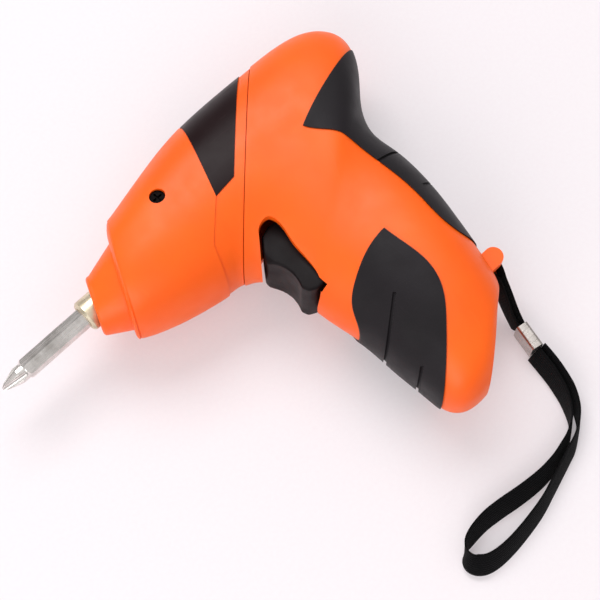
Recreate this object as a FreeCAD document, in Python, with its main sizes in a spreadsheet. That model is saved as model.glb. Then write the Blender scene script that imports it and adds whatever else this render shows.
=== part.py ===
"""Pistol-shaped cordless screwdriver with a rocker trigger, planetary gearbox and hand strap.

Frame: millimetres, origin at the mouth of the bit socket on the spindle axis. +X runs back along the
barrel, +Y is the top of the barrel with the handle along -Y, +Z is the left side, which faces up when
the tool lies on its right side.
"""

import FreeCAD, Part
import math
import os
import re

import Sketcher

Vector = FreeCAD.Vector
X_AXIS = Vector(1, 0, 0)
Y_AXIS = Vector(0, 1, 0)
Z_AXIS = Vector(0, 0, 1)

# Driving sizes, in millimetres, degrees and tooth counts
SIZES = {
    # Moulded shell
    "wall": 2.6,
    "butt_wall": 3.2,
    "squareness": 2.3,
    "seam_gap": 0.3,
    "fit_gap": 0.1,
    "press_gap": 0.02,
    "lip_length": 2.5,
    "lip_thick": 1.4,
    "rib_thick": 2.4,
    "shoulder_ledge": 0.25,
    "neck_rounding": 1.4,
    # Soft grips, label and the sunk band that the label sits in
    "grip_proud": 0.6,
    "grip_depth": 1.5,
    "grip_gap": 0.05,
    "groove_wide": 1.1,
    "groove_depth": 0.9,
    "label_sink": 0.5,
    "label_thick": 0.4,
    # Bit, spindle and its front bush
    "bit_flats": 6.35,
    "bit_length": 50.0,
    "bit_gap": 0.05,
    "bit_tip_length": 9.0,
    "bit_tip_radius": 0.9,
    "flute_radius": 1.5,
    "socket_depth": 15.5,
    "mouth_lead": 0.7,
    "magnet_radius": 2.6,
    "magnet_length": 3.0,
    "spindle_radius": 5.6,
    "spindle_length": 33.0,
    "spindle_chamfer": 0.8,
    "bush_front": 10.0,
    "bush_length": 9.0,
    "bush_wall": 2.2,
    "run_gap": 0.05,
    # Two-stage planetary gearbox
    "gear_module": 0.55,
    "sun_teeth": 9,
    "planet_teeth": 18,
    "pressure_angle": 25,
    "gear_backlash": 0.12,
    "gear_width": 5.6,
    "stage_gap": 0.4,
    "flange_radius": 10.8,
    "flange_thick": 3.0,
    "planet_pin_radius": 1.5,
    "washer_thick": 0.6,
    "case_radius": 15.5,
    "case_wall": 2.0,
    "motor_plate_thick": 2.4,
    # Motor
    "motor_radius": 13.85,
    "motor_length": 31.0,
    "motor_cap_length": 6.0,
    "motor_cap_step": 0.8,
    "motor_shaft_radius": 1.15,
    "motor_boss_radius": 3.8,
    "motor_screw_circle": 8.0,
    "motor_screw_radius": 1.25,
    # Nose screws
    "nose_screw_x": 41.5,
    "nose_screw_y": 7.2,
    "nose_boss_top": 16.0,
    "screw_radius": 1.5,
    "screw_head_radius": 2.6,
    "screw_head_height": 1.6,
    "screw_seat": 8.0,
    "screw_length": 14.0,
    "boss_radius": 4.2,
    # Rocker trigger and its switch
    "rocker_front": 53.2,
    "rocker_back": 70.5,
    "rocker_top": -22.7,
    "rocker_bottom": -49.2,
    "rocker_half_width": 12.0,
    "rocker_rounding": 2.2,
    "rocker_gap": 1.2,
    "rocker_pocket": 6.0,
    "scoop_radius": 12.0,
    "scoop_depth": 2.2,
    "scoop_y": -39.8,
    "pivot_x": 66.0,
    "pivot_y": -36.0,
    "pivot_radius": 1.25,
    "pivot_length": 27.6,
    "plunger_radius": 1.6,
    "plunger_length": 6.0,
    "plunger_reach": 8.0,
    "switch_depth": 11.0,
    "switch_height": 23.0,
    "switch_half_width": 8.0,
    # Battery of four cells, two by two
    "cell_radius": 7.1,
    "cell_length": 28.7,
    "cell_spacing": 14.5,
    "cell_middle_x": 85.5,
    "cell_low_y": -79.8,
    "tab_thick": 0.3,
    # Charging socket in the butt
    "jack_radius": 4.0,
    "jack_length": 11.0,
    "jack_hole_radius": 2.8,
    "jack_hole_depth": 9.0,
    "jack_pin_radius": 1.0,
    "jack_flange_radius": 5.2,
    "jack_flange_thick": 1.4,
    "jack_sink": 1.8,
    # Strap lug, strap and clip
    "lug_x": 108.4,
    "lug_y": -80.2,
    "lug_radius": 3.3,
    "lug_thick": 3.4,
    "lug_cover": 1.2,
    "lug_gap": 9.0,
    "lug_way": 6.0,
    "lug_pin_radius": 1.2,
    "strap_width": 8.0,
    "strap_thick": 1.2,
    "clip_x": 105.2,
    "clip_y": -99.4,
    "clip_thick": 4.4,
    "clip_width": 9.0,
    "clip_rounding": 1.0,
    "clip_gap": 0.3,
    "tether_level": 4.0,
    "floor_z": -22.0,
}

# Slanted sections of the body from nose to butt: middle x, middle y, lean, half depth, half width
SECTIONS = {
    "neck_front": (5.0, 0.5, 24.5, 10.1, 9.2),
    "neck_back": (16.0, -0.6, 27.0, 14.6, 13.0),
    "shoulder": (18.4, 0.6, 26.8, 19.8, 18.4),
    "cone": (40.3, -0.1, 25.2, 26.6, 22.0),
    "band": (54.7, 0.1, 29.0, 30.4, 22.0),
    "seam": (73.5, -0.5, 45.4, 38.6, 22.0),
    "crown": (85.0, -3.5, 49.2, 43.6, 22.0),
    "crest": (92.8, -11.7, 53.5, 47.6, 21.8),
    "heel": (91.8, -22.9, 56.0, 43.1, 21.2),
    "waist": (85.7, -35.0, 55.1, 35.0, 20.2),
    "palm": (86.5, -49.2, 55.1, 32.9, 20.8),
    "swell": (86.5, -68.9, 58.0, 30.4, 21.4),
    "base": (85.1, -84.9, 60.6, 26.7, 20.6),
    "corner": (84.7, -94.8, 61.4, 23.7, 18.6),
    "butt": (88.4, -99.1, 50.6, 16.7, 14.5),
}
FIELDS = ("x", "y", "lean", "depth", "width")
NECK = ("neck_front", "neck_back")
BODY = [name for name in SECTIONS if name not in NECK]
SECTION_POINTS = 16
SECTION_COUNT = 20

# Outlines on the side of the body, as x and y
LABEL_OUTLINE = [(69.5, 32.0), (54.9, -6.2), (63.8, -5.2), (101.0, 32.0)]
BAND_EDGE = [(69.5, 34.0), (54.9, -6.2), (43.5, -17.0), (38.0, -34.0)]
NOTCH_FRONT = [(55.0, -51.2), (44.0, -51.2), (43.4, -40.6), (57.2, -23.4)]
NOTCH_BACK = [
    (57.2, -23.4), (59.8, -21.6), (63.0, -21.9), (64.2, -24.5), (63.4, -32.0), (62.6, -42.0),
    (61.4, -47.0), (58.6, -50.4), (55.0, -51.2),
]
FRONT_GRIP_CURVE = [
    (50.0, -71.5), (59.6, -67.4), (62.2, -61.0), (68.0, -56.6), (78.0, -52.6), (85.6, -51.6),
]
FRONT_GRIP_BACK = [
    (85.6, -51.6), (86.6, -60.4), (87.0, -70.5), (84.6, -78.0), (78.0, -86.4), (60.5, -103.6), (50.0, -114.0),
]
REAR_GRIP_TOP = [(135.3, 7.1), (122.3, 3.2), (111.2, -0.5), (102.0, -3.8), (92.2, -8.0)]
REAR_GRIP_FRONT = [
    (92.2, -8.0), (95.4, -12.6), (99.6, -17.6), (101.4, -23.5), (102.5, -33.4), (103.0, -50.0),
    (102.6, -63.0),
    (104.6, -69.6), (118.0, -74.0),
]
FRONT_GRIP_OUTSIDE = (40.0, -95.0)
REAR_GRIP_OUTSIDE = (145.0, -40.0)

# Grooves in the soft grips: start x, start y, slope and length
FRONT_GROOVES = [(57.5, -81.6, 38.0, 20.0), (58.0, -95.8, 38.0, 8.0)]
REAR_GROOVES = [(101.0, -33.4, 0.0, 24.0), (107.5, -49.0, 0.0, 20.0)]
HOUSING_SCREWS = [(112.0, 10.0), (97.0, -27.0), (105.5, -43.0), (66.5, -62.0), (72.0, -96.0)]

# Hand loop of the strap, seen from above, from the clip out and back to the clip
STRAP_ROUTE = [
    (104.3, -109.2), (103.9, -113.7), (102.7, -120.5), (100.4, -128.2), (95.9, -135.0), (89.7, -139.1),
    (82.8, -141.2), (73.5, -144.0), (65.8, -146.2), (57.5, -147.4), (49.3, -148.0), (42.5, -147.6),
    (37.9, -146.0), (35.6, -142.8), (36.6, -139.2), (40.3, -137.0), (48.0, -136.2), (55.3, -137.1),
    (62.9, -138.6), (71.0, -139.6), (77.0, -139.5), (82.2, -138.7), (88.7, -136.8), (94.1, -133.1),
    (98.0, -126.9), (100.3, -119.8), (101.5, -113.3), (102.1, -108.9),
]

# Heights of the gear teeth above and below their pitch line, in modules
TOOTH_TIP = 0.8
TOOTH_ROOT = 1.05

doc = FreeCAD.newDocument("cordless_screwdriver")
sheet = doc.addObject("Spreadsheet::Sheet", "Sizes")
parts = []


def fill_sheet():
    """Writes every driving size into its own named cell."""
    for station, numbers in SECTIONS.items():
        for field, number in zip(FIELDS, numbers):
            SIZES[f"{station}_{field}"] = number
    for row, (name, number) in enumerate(SIZES.items(), start=1):
        sheet.set(f"A{row}", name)
        sheet.set(f"B{row}", str(number))
        sheet.setAlias(f"B{row}", name)
    doc.recompute()


def formula(text):
    """Points each size named in a formula at its cell."""
    def cell(match):
        word = match.group(0)
        return f"Sizes.{word}" if word in SIZES else word

    return re.sub(r"[A-Za-z_]\w*", cell, str(text))


def value(text):
    """The number that a formula gives with the sheet's sizes."""
    result = sheet.evalExpression(formula(text))
    return float(getattr(result, "Value", result))


def bind(item, **formulas):
    for name, text in formulas.items():
        item.setExpression(name, formula(text))


def place(item, x="0", y="0", z="0", axis=Z_AXIS, turn=0):
    """Turns an item about its own origin, then moves it to a bound place."""
    item.Placement = FreeCAD.Placement(Vector(), FreeCAD.Rotation(axis, turn))
    for name, text in (("x", x), ("y", y), ("z", z)):
        item.setExpression(f"Placement.Base.{name}", formula(text))


def box(name, x, y, z, length, width, height, turn=0):
    item = doc.addObject("Part::Box", name)
    bind(item, Length=length, Width=width, Height=height)
    place(item, x, y, z, Z_AXIS, turn)
    return item


def rod(name, along, x, y, z, length, radius):
    """A cylinder that runs from a point along +X, +Y or +Z."""
    item = doc.addObject("Part::Cylinder", name)
    bind(item, Height=length, Radius=radius)
    if along == "x":
        place(item, x, y, z, Y_AXIS, 90)
    elif along == "y":
        place(item, x, y, z, X_AXIS, -90)
    else:
        place(item, x, y, z)
    return item


def hexagon(name, x, length, flats):
    """A six-sided bar along +X."""
    item = doc.addObject("Part::Prism", name)
    item.Polygon = 6
    bind(item, Circumradius=f"({flats}) / 2 / cos(30)", Height=length)
    place(item, x, "0", "0", Y_AXIS, 90)
    return item


def fuse(name, *items):
    result = doc.addObject("Part::MultiFuse", name)
    result.Shapes = list(items)
    return result


def common(name, *items):
    result = doc.addObject("Part::MultiCommon", name)
    result.Shapes = list(items)
    return result


def cut(name, base, *tools):
    result = doc.addObject("Part::Cut", name)
    result.Base = base
    result.Tool = tools[0] if len(tools) == 1 else fuse(f"{name}_tools", *tools)
    return result


def keep(item, name):
    """Names a finished sub-part, which is written out under that name."""
    item.Label = name
    parts.append(item)
    return item


def draw_outline(sketch, corners):
    """Draws a closed polygon whose corners are bound to formulas."""
    points = [Vector(value(x), value(y), 0) for x, y in corners]
    count = len(points)
    for index, point in enumerate(points):
        sketch.addGeometry(Part.LineSegment(point, points[(index + 1) % count]))
    for index in range(count):
        sketch.addConstraint(Sketcher.Constraint("Coincident", index, 2, (index + 1) % count, 1))
    for index, (x, y) in enumerate(corners):
        for kind, axis_line, text in (("DistanceX", -2, x), ("DistanceY", -1, y)):
            if text == "0":
                sketch.addConstraint(Sketcher.Constraint("PointOnObject", index, 1, axis_line))
            else:
                number = sketch.addConstraint(Sketcher.Constraint(kind, index, 1, value(text)))
                sketch.setExpression(f"Constraints[{number}]", formula(text))


def new_sketch(body, name, plane_role):
    sketch = body.newObject("Sketcher::SketchObject", name)
    plane = [item for item in body.Origin.OriginFeatures if item.Role == plane_role][0]
    sketch.AttachmentSupport = (plane, [""])
    sketch.MapMode = "FlatFace"
    return sketch


def turned(name, profile):
    """A body turned about the spindle axis from a profile of x and radius."""
    body = doc.addObject("PartDesign::Body", name)
    sketch = new_sketch(body, f"{name}_profile", "XY_Plane")
    draw_outline(sketch, profile)
    turn = body.newObject("PartDesign::Revolution", f"{name}_turn")
    turn.Profile = sketch
    turn.ReferenceAxis = (sketch, ["H_Axis"])
    turn.Angle = 360
    sketch.Visibility = False
    return body


def padded(name, corners, half):
    """A body padded both ways from the middle plane."""
    body = doc.addObject("PartDesign::Body", name)
    sketch = new_sketch(body, f"{name}_profile", "XY_Plane")
    draw_outline(sketch, corners)
    pad = body.newObject("PartDesign::Pad", f"{name}_pad")
    pad.Profile = sketch
    pad.SideType = "Symmetric"
    bind(pad, Length=f"2 * ({half})")
    sketch.Visibility = False
    return body


def extruded(name, wire, low, high):
    """A solid made by drawing a flat wire from one height to another."""
    item = doc.addObject("Part::Feature", name)
    face = Part.Face(wire)
    item.Shape = face.extrude(Vector(0, 0, value(high) - value(low)))
    item.Placement = FreeCAD.Placement(Vector(0, 0, value(low)), FreeCAD.Rotation())
    return item


def side_prism(name, stretches, reach="2 * crown_width"):
    """A prism across the body whose outline is straight runs and smooth curves, in order."""
    edges = []
    for smooth, corners in stretches:
        points = [Vector(x, y, 0) for x, y in corners]
        if smooth:
            curve = Part.BSplineCurve()
            curve.interpolate(points)
            edges.append(curve.toShape())
        else:
            edges += [Part.LineSegment(a, b).toShape() for a, b in zip(points, points[1:])]
    return extruded(name, Part.Wire(edges), f"-({reach})", reach)


def section_ends(station):
    """The inner and outer outline points of a section in the middle plane."""
    middle = Vector(value(f"{station}_x"), value(f"{station}_y"), 0)
    lean = math.radians(value(f"{station}_lean"))
    outward = Vector(math.sin(lean), math.cos(lean), 0)
    reach = outward * value(f"{station}_depth")
    return middle - reach, middle + reach


def even_sections():
    """Evenly spaced inner and outer outline points and half widths, smooth through the stations."""
    inner, outer = zip(*(section_ends(station) for station in BODY))
    knots = [0.0]
    for index in range(1, len(BODY)):
        steps = [(side[index] - side[index - 1]).Length for side in (inner, outer)]
        knots.append(knots[-1] + sum(steps) / 2)
    widths = [Vector(knot, value(f"{station}_width"), 0) for knot, station in zip(knots, BODY)]
    curves = []
    for points in (inner, outer, widths):
        curve = Part.BSplineCurve()
        curve.interpolate(Points=list(points), Parameters=knots)
        curves.append(curve)
    sections = []
    for index in range(SECTION_COUNT):
        knot = knots[-1] * index / (SECTION_COUNT - 1)
        sections.append((curves[0].value(knot), curves[1].value(knot), curves[2].value(knot).y))
    return sections


def section_wire(inner, outer, width, offset=0.0, inward=0.0):
    """A closed rounded section of two arcs between two outline points, grown and moved back."""
    outward = (outer - inner).normalize()
    backward = Vector(outward.y, -outward.x, 0)
    middle = (inner + outer) * 0.5 + backward * inward
    depth = (outer - inner).Length / 2 + offset
    power = 2 / value("squareness")
    points = []
    for index in range(SECTION_POINTS):
        angle = 2 * math.pi * index / SECTION_POINTS + math.pi / 2
        across = math.copysign(abs(math.cos(angle)) ** power, math.cos(angle))
        side = math.copysign(abs(math.sin(angle)) ** power, math.sin(angle))
        points.append(middle + outward * (depth * across) + Z_AXIS * ((width + offset) * side))
    curve = Part.BSplineCurve()
    curve.interpolate(points, PeriodicFlag=True)
    half_way = curve.parameter(points[SECTION_POINTS // 2])
    front = curve.toShape(curve.FirstParameter, half_way)
    back = curve.toShape(half_way, curve.LastParameter)
    return Part.Wire([front, back])


def station_wire(station, offset=0.0, inward=0.0):
    return section_wire(*section_ends(station), value(f"{station}_width"), offset, inward)


def skin_wires(offset, butt_inset="0"):
    """Every section of the body grown or shrunk by an offset, with the last one moved inwards."""
    sections = even_sections()
    wires = []
    for index, (inner, outer, width) in enumerate(sections, start=1):
        inward = -value(butt_inset) if index == SECTION_COUNT else 0
        wires.append(section_wire(inner, outer, width, value(offset), inward))
    return wires


def loft(name, wires, ruled):
    sections = []
    for index, wire in enumerate(wires):
        section = doc.addObject("Part::Feature", f"{name}_section_{index}")
        section.Shape = wire
        sections.append(section)
    result = doc.addObject("Part::Loft", name)
    result.Sections = sections
    result.Solid = True
    result.Ruled = ruled
    return result


def layer(name, top, bottom, butt_inset=None):
    """A hollow layer of the body between two offsets, closed at the butt when an inset is given."""
    outer = skin_wires(top)
    inner = skin_wires(bottom, butt_inset or "0")
    faces = []
    for wires in (outer, inner):
        faces += Part.makeLoft(wires, False, False).Faces
    rims = [(outer[0], inner[0])]
    if butt_inset:
        faces += [Part.Face(outer[-1]), Part.Face(inner[-1])]
    else:
        rims.append((outer[-1], inner[-1]))
    for rim in rims:
        faces.append(Part.makeFace(list(rim), "Part::FaceMakerBullseye"))
    shell = Part.Shell(faces)
    shell.sewShape()
    item = doc.addObject("Part::Feature", name)
    item.Shape = Part.Solid(shell)
    return item


def behind_seam(name, start, length):
    """A slab across the body, from one distance behind the slanted seam and so much longer."""
    reach = "(6 * seam_depth)"
    item = box(name, "0", "0", "0", length, reach, reach, 0)
    item.Placement = FreeCAD.Placement(Vector(), FreeCAD.Rotation(Z_AXIS, -value("seam_lean")))
    item.setExpression("Placement.Rotation.Angle", formula("-seam_lean"))
    place_x = f"seam_x + ({start}) * cos(seam_lean) - {reach} / 2 * sin(seam_lean)"
    place_y = f"seam_y - ({start}) * sin(seam_lean) - {reach} / 2 * cos(seam_lean)"
    for axis, text in (("x", place_x), ("y", place_y), ("z", f"-{reach} / 2")):
        item.setExpression(f"Placement.Base.{axis}", formula(text))
    return item


# Places along the drive, front to back
FLANGE_BACK = "(spindle_length + flange_thick)"
STAGE_2 = f"({FLANGE_BACK} + stage_gap)"
CARRIER = f"({STAGE_2} + gear_width + stage_gap)"
STAGE_1 = f"({CARRIER} + flange_thick + stage_gap)"
CASE_BACK = f"({STAGE_1} + gear_width + 2 * stage_gap)"
CASE_FRONT = "(spindle_length - 2 * fit_gap - washer_thick - case_wall)"
MOTOR_FRONT = f"({CASE_BACK} + motor_plate_thick)"
MOTOR_BACK = f"({MOTOR_FRONT} + motor_length)"
MOTOR_END = f"({MOTOR_BACK} + motor_cap_length)"
NOSE_SEAT = "(nose_boss_top + 2)"
BUSH_FLANGE = "(bush_front + bush_length - 1.5)"
SWITCH_LOW = "(pivot_y - switch_height / 2)"
CELL_FLOOR = "(cell_low_y - tab_thick - fit_gap)"
BIT_BACK = "(socket_depth - 0.2 * bit_tip_radius)"
ORBIT = "(gear_module * (sun_teeth + planet_teeth) / 2)"
RING_TEETH = "(sun_teeth + 2 * planet_teeth)"
SWITCH_FRONT = "(rocker_back + plunger_length / 2)"
CELL_HIGH = "(cell_low_y + cell_length)"
ORBIT_ANGLES = (0, 120, 240)
LETTERS = "abc"


def gear_wire(teeth, tip, root, thickness, phase):
    """A toothed outline about the spindle axis with involute flanks drawn as short flats."""
    pitch = value("gear_module") * teeth / 2
    pressure = math.radians(value("pressure_angle"))
    base = pitch * math.cos(pressure)

    def involute(radius):
        angle = math.acos(min(1, base / radius))
        return math.tan(angle) - angle

    def half_angle(radius):
        return thickness / 2 / pitch + involute(pitch) - involute(max(radius, base))

    radii = [root, max(root * 1.02, base), pitch, tip]
    points = []
    for tooth in range(teeth):
        middle = phase + 2 * math.pi * tooth / teeth
        flank = [(radius, half_angle(radius)) for radius in radii]
        for radius, angle in flank:
            points.append((radius, middle - angle))
        for radius, angle in reversed(flank):
            points.append((radius, middle + angle))
    corners = [Vector(0, radius * math.cos(angle), radius * math.sin(angle)) for radius, angle in points]
    return Part.makePolygon(corners + corners[:1])


def gear(name, teeth, start, length, addendum, dedendum, play, phase, bore=0):
    """A spur gear about the spindle axis, with a bore when one is given."""
    module = value("gear_module")
    pitch = module * teeth / 2
    thickness = math.pi * module / 2 + play
    wire = gear_wire(teeth, pitch + addendum * module, pitch - dedendum * module, thickness, phase)
    item = doc.addObject("Part::Feature", name)
    solid = Part.Face(wire).extrude(X_AXIS * value(length))
    if bore:
        solid = solid.cut(Part.makeCylinder(bore, value(length), Vector(), X_AXIS))
    item.Shape = solid
    item.Placement = FreeCAD.Placement(Vector(value(start), 0, 0), FreeCAD.Rotation())
    return item


def orbit_place(angle):
    """The y and z formulas of a place on the planets' circle."""
    return f"{ORBIT} * cos({angle})", f"{ORBIT} * sin({angle})"


def make_bit():
    """Hexagon insert bit with a cross tip."""
    hex_back = "(bit_length - bit_tip_length)"
    front = f"({BIT_BACK} - bit_length)"
    shank_start = f"({front} + bit_tip_length)"
    shank = hexagon("bit_shank", shank_start, hex_back, "bit_flats")
    rounded = turned("bit_rounding", [
        (shank_start, "0"),
        (shank_start, "bit_flats / 2 - 0.2"),
        (f"{shank_start} + 1", "bit_flats / 2 / cos(30) + 0.05"),
        (f"{BIT_BACK} - 0.8", "bit_flats / 2 / cos(30) + 0.05"),
        (BIT_BACK, "bit_flats / 2 - 0.2"),
        (BIT_BACK, "0"),
    ])
    tip = turned("bit_tip", [
        (front, "0"),
        (front, "bit_tip_radius"),
        (f"{shank_start} - 2.6", "bit_flats / 2 - 0.2"),
        (f"{shank_start} + 0.5", "bit_flats / 2 - 0.2"),
        (f"{shank_start} + 0.5", "0"),
    ])
    flutes = []
    for index in range(4):
        flute = doc.addObject("Part::Cylinder", f"bit_flute_{index}")
        bind(flute, Radius="flute_radius", Height="bit_tip_length")
        spin = FreeCAD.Rotation(X_AXIS, 45 + 90 * index)
        tilt = FreeCAD.Rotation(Y_AXIS, 90 - 14)
        offset = spin.multVec(Vector(0, 0, value("flute_radius + 0.25")))
        flute.Placement = FreeCAD.Placement(Vector(value(front) - 0.5, 0, 0) + offset, spin.multiply(tilt))
        flutes.append(flute)
    whole = fuse("bit_whole", common("bit_hex", shank, rounded), tip)
    keep(cut("bit_cut", whole, *flutes), "screwdriver_bit")


def make_spindle():
    """Output spindle: hexagon socket in front, planet carrier of the second stage behind."""
    blank = turned("spindle_blank", [
        ("0", "0"),
        ("0", "spindle_radius - spindle_chamfer"),
        ("spindle_chamfer", "spindle_radius"),
        ("spindle_length", "spindle_radius"),
        ("spindle_length", "flange_radius"),
        (FLANGE_BACK, "flange_radius"),
        (FLANGE_BACK, "0"),
    ])
    socket = hexagon("spindle_socket", "0", "socket_depth", "bit_flats + 2 * bit_gap")
    seat = rod(
        "magnet_seat", "x", "socket_depth - 0.1", "0", "0", "magnet_length + 0.1",
        "magnet_radius + bit_gap",
    )
    pins = []
    for letter, angle in zip(LETTERS, ORBIT_ANGLES):
        y, z = orbit_place(angle)
        pins.append(rod(
            f"pin_2{letter}", "x", f"{FLANGE_BACK} - 1", y, z, "gear_width + stage_gap + 1.2",
            "planet_pin_radius",
        ))
    corner_radius = "(bit_flats / 2 / cos(30))"
    mouth = turned("spindle_mouth", [
        ("-mouth_lead", "0"),
        ("-mouth_lead", f"{corner_radius} + 2 * mouth_lead"),
        ("mouth_lead", corner_radius),
        ("mouth_lead", "0"),
    ])
    keep(cut("spindle_cut", fuse("spindle_whole", blank, *pins), socket, seat, mouth), "output_spindle")
    magnet = rod("magnet_rod", "x", "socket_depth", "0", "0", "magnet_length", "magnet_radius")
    keep(magnet, "bit_magnet")
    bush = turned("bush_turned", [
        ("bush_front", "spindle_radius + run_gap"),
        ("bush_front", "spindle_radius + bush_wall"),
        (BUSH_FLANGE, "spindle_radius + bush_wall"),
        (BUSH_FLANGE, "spindle_radius + 2 * bush_wall"),
        ("bush_front + bush_length", "spindle_radius + 2 * bush_wall"),
        ("bush_front + bush_length", "spindle_radius + run_gap"),
    ])
    keep(bush, "spindle_bush")
    washer = turned("washer_turned", [
        (f"{CASE_FRONT} + case_wall + fit_gap", "spindle_radius + fit_gap"),
        (f"{CASE_FRONT} + case_wall + fit_gap", "flange_radius - 1"),
        ("spindle_length - fit_gap", "flange_radius - 1"),
        ("spindle_length - fit_gap", "spindle_radius + fit_gap"),
    ])
    keep(washer, "thrust_washer")


def make_gears():
    """Six planets, the first carrier with the second sun, and the pinion on the motor shaft."""
    backlash = value("gear_backlash")
    planet_teeth = round(value("planet_teeth"))
    sun_teeth = round(value("sun_teeth"))
    bore = value("planet_pin_radius + run_gap")
    half_tooth = math.pi / planet_teeth
    for stage, start in ((2, STAGE_2), (1, STAGE_1)):
        for letter, angle in zip(LETTERS, ORBIT_ANGLES):
            phase = math.radians(angle) + half_tooth
            name = f"planet_{stage}{letter}"
            planet = gear(
                f"{name}_gear", planet_teeth, start, "gear_width", TOOTH_TIP, TOOTH_ROOT, -backlash, phase,
                bore,
            )
            y, z = orbit_place(angle)
            planet.Placement = FreeCAD.Placement(Vector(value(start), value(y), value(z)), FreeCAD.Rotation())
            keep(planet, name)
    plate = rod("carrier_plate", "x", CARRIER, "0", "0", "flange_thick", "flange_radius")
    sun = gear(
        "carrier_sun", sun_teeth, f"{STAGE_2} + 0.2", "gear_width + stage_gap", TOOTH_TIP, TOOTH_ROOT,
        -backlash, 0,
    )
    pins = []
    for letter, angle in zip(LETTERS, ORBIT_ANGLES):
        y, z = orbit_place(angle)
        start = f"{CARRIER} + flange_thick - 1"
        pins.append(rod(
            f"pin_1{letter}", "x", start, y, z, "gear_width + stage_gap + 1.2", "planet_pin_radius",
        ))
    keep(fuse("carrier_whole", plate, sun, *pins), "stage_carrier")
    pinion_bore = value("motor_shaft_radius") + 0.01
    pinion = gear(
        "pinion_gear", sun_teeth, f"{STAGE_1} + 0.2", "gear_width", TOOTH_TIP, TOOTH_ROOT, -backlash, 0,
        pinion_bore,
    )
    keep(pinion, "motor_pinion")


def make_gear_case():
    """Gear case with the ring teeth of both stages, its back plate and the plate's screws."""
    shell = turned("case_shell", [
        (CASE_FRONT, "spindle_radius + 0.6"),
        (CASE_FRONT, "case_radius - 1"),
        (f"{CASE_FRONT} + 1", "case_radius"),
        (CASE_BACK, "case_radius"),
        (CASE_BACK, "spindle_radius + 0.6"),
    ])
    bosses = []
    pilots = []
    for side, label in ((1, "left"), (-1, "right")):
        inner = "case_radius - 4"
        length = f"nose_boss_top - ({inner})"
        start = inner if side > 0 else "-nose_boss_top"
        bosses.append(rod(
            f"case_boss_{label}", "z", "nose_screw_x", "nose_screw_y", start, length, "boss_radius - 0.6",
        ))
        pilot_start = "nose_boss_top - 3.4" if side > 0 else "-nose_boss_top - 1"
        pilots.append(rod(
            f"case_pilot_{label}", "z", "nose_screw_x", "nose_screw_y", pilot_start, "4.4", "screw_radius",
        ))
    ring = round(value(RING_TEETH))
    half_space = math.pi / ring
    start = f"{CASE_FRONT} + case_wall"
    length = f"{CASE_BACK} - {CASE_FRONT} - case_wall + 1"
    teeth = gear("ring_teeth", ring, start, length, TOOTH_ROOT, TOOTH_TIP, value("gear_backlash"), half_space)
    keep(cut("case_cut", fuse("case_whole", shell, *bosses), teeth, *pilots), "gear_case")

    plate = rod("motor_plate_disc", "x", CASE_BACK, "0", "0", "motor_plate_thick", "case_radius")
    boss_hole = rod(
        "motor_plate_hole", "x", f"{CASE_BACK} - 1", "0", "0", "motor_plate_thick + 2",
        "motor_boss_radius + fit_gap",
    )
    holes = []
    screws = []
    for index, sign in enumerate((1, -1)):
        y = f"{sign} * motor_screw_circle"
        holes.append(screw_cone(f"motor_plate_sink_{index}", y, "fit_gap"))
        screws.append(screw_cone(f"motor_screw_{index}", y, "0"))
    keep(cut("motor_plate_cut", plate, boss_hole, *holes), "motor_plate")
    keep(fuse("motor_screw_pair", *screws), "motor_screws")


def screw_cone(name, y, growth):
    """A countersunk screw that enters the motor face from the gear side."""
    body = turned(name, [
        (f"{CASE_BACK} - {growth}", "0"),
        (f"{CASE_BACK} - {growth}", f"1.9 * motor_screw_radius + {growth}"),
        (f"{CASE_BACK} + motor_screw_radius", f"motor_screw_radius + {growth}"),
        (f"{MOTOR_FRONT} + 3 + {growth}", f"motor_screw_radius + {growth}"),
        (f"{MOTOR_FRONT} + 3 + {growth}", "0"),
    ])
    body.setExpression("Placement.Base.y", formula(y))
    return body


def make_motor():
    """Sealed motor: can, end cap and shaft."""
    can = turned("motor_can_turned", [
        (MOTOR_FRONT, "motor_shaft_radius + run_gap"),
        (f"{MOTOR_FRONT} - 2", "motor_shaft_radius + run_gap"),
        (f"{MOTOR_FRONT} - 2", "motor_boss_radius"),
        (MOTOR_FRONT, "motor_boss_radius"),
        (MOTOR_FRONT, "motor_radius - 1.2"),
        (f"{MOTOR_FRONT} + 1.2", "motor_radius"),
        (MOTOR_BACK, "motor_radius"),
        (MOTOR_BACK, "motor_shaft_radius + run_gap"),
    ])
    holes = []
    for index, sign in enumerate((1, -1)):
        y = f"{sign} * motor_screw_circle"
        holes.append(rod(
            f"motor_tap_{index}", "x", f"{MOTOR_FRONT} - 1", y, "0", "4.2", "motor_screw_radius",
        ))
    flats = []
    for index, sign in enumerate((1, -1)):
        low = "motor_radius - 1.4" if sign > 0 else "-motor_radius - 1"
        flats.append(box(
            f"motor_flat_{index}", f"{MOTOR_FRONT} + 4", "-motor_radius", low, "motor_length - 8",
            "2 * motor_radius", "2.4",
        ))
    keep(cut("motor_can_cut", can, *holes, *flats), "motor_can")
    cap = turned("motor_cap_turned", [
        (MOTOR_BACK, "motor_shaft_radius + run_gap"),
        (MOTOR_BACK, "motor_radius - motor_cap_step"),
        (f"{MOTOR_END} - 2.5", "motor_radius - motor_cap_step"),
        (f"{MOTOR_END} - 2.5", "2 * motor_boss_radius / 1.5"),
        (MOTOR_END, "2 * motor_boss_radius / 1.5"),
        (MOTOR_END, "motor_shaft_radius + run_gap"),
    ])
    tabs = []
    for index, sign in enumerate((1, -1)):
        y = f"{sign} * motor_screw_circle - 1.4"
        tabs.append(box(f"motor_terminal_{index}", f"{MOTOR_END} - 3.5", y, "-0.25", "5.5", "2.8", "0.5"))
    keep(fuse("motor_cap_whole", cap, *tabs), "motor_end_cap")
    shaft = rod(
        "motor_shaft_rod", "x", f"{STAGE_1} + 0.2", "0", "0", f"{MOTOR_END} - {STAGE_1} + 1",
        "motor_shaft_radius",
    )
    keep(shaft, "motor_shaft")


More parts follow.
